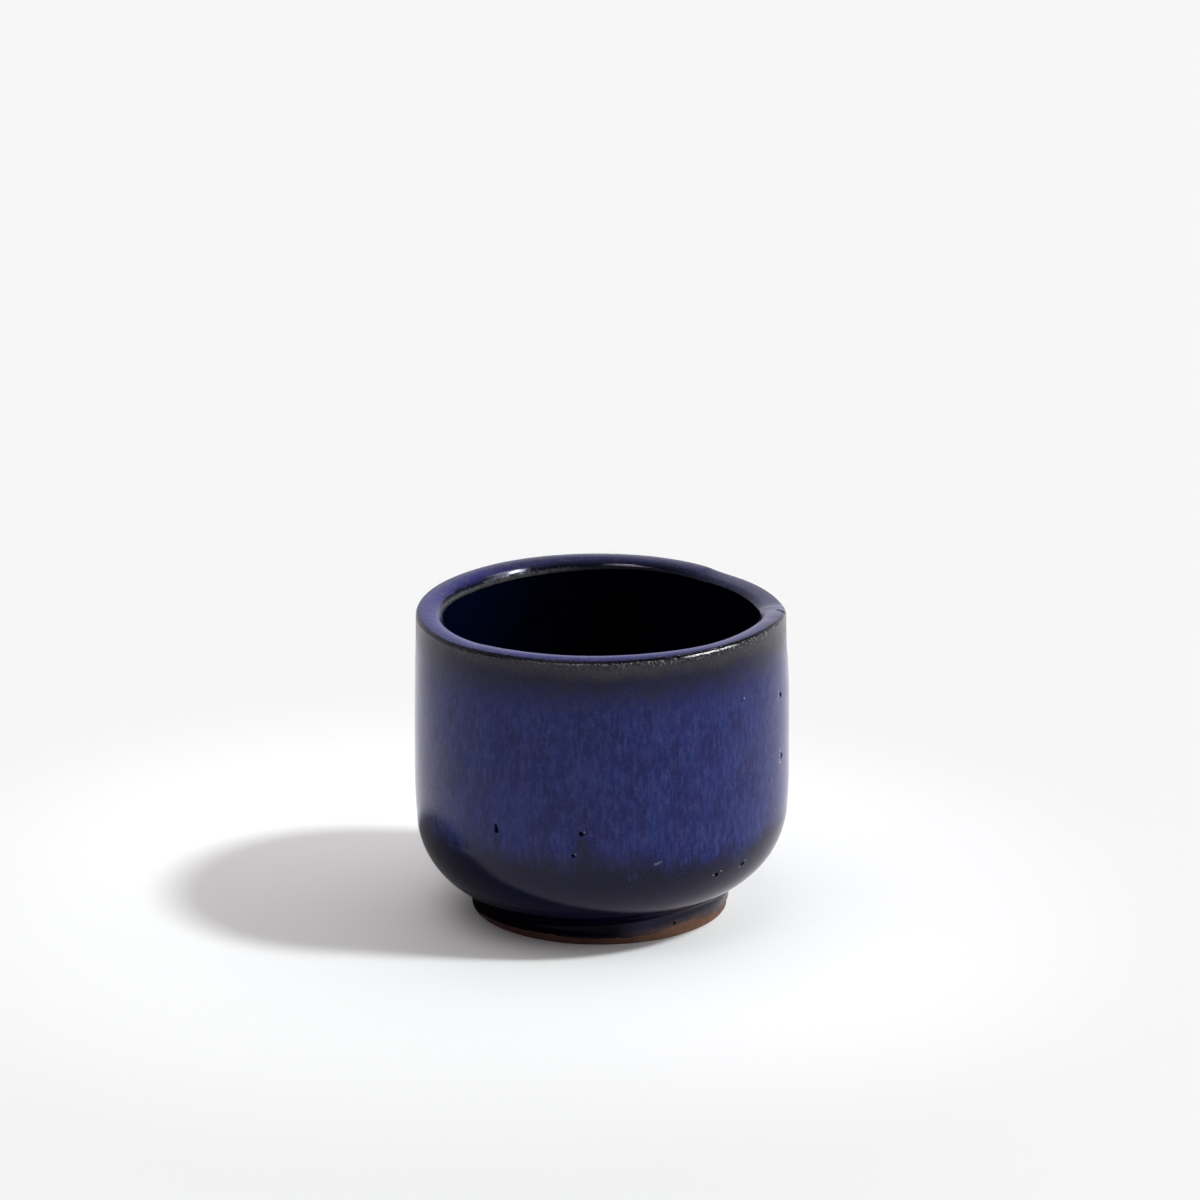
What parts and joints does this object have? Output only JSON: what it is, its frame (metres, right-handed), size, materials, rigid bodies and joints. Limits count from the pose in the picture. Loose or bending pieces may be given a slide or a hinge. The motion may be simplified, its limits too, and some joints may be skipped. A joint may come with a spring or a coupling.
{
  "type": "coffee cup",
  "caption": "Handleless stoneware coffee cup with a straight wall, rounded belly and low foot ring, in streaked blue glaze over near-black, with a violet lip and bare clay at the foot",
  "frame": {"origin": "centre of the foot ring, on the surface that the cup stands on", "axes": "+Z is the cup's turning axis, up through the mouth; X and Y lie on the surface, and the picture looks along +Y"},
  "size_m": [0.075, 0.075, 0.0625],
  "materials": {
    "stoneware": "unglazed red-brown stoneware, matt and slightly gritty",
    "dark_glaze": "glossy near-black glaze",
    "blue_glaze": "glossy cobalt blue glaze with fine vertical streaks and pinholes",
    "lip_glaze": "satin blue-violet glaze, breaking dark at its edges",
    "liner_glaze": "glossy black-blue glaze"
  },
  "bodies": {
    "root": {"thrown_body": "stoneware", "foot_ring": "stoneware", "base_glaze": "dark_glaze", "blue_glaze": "blue_glaze", "lip_glaze": "lip_glaze", "liner_glaze": "liner_glaze"}
  },
  "joints": []
}
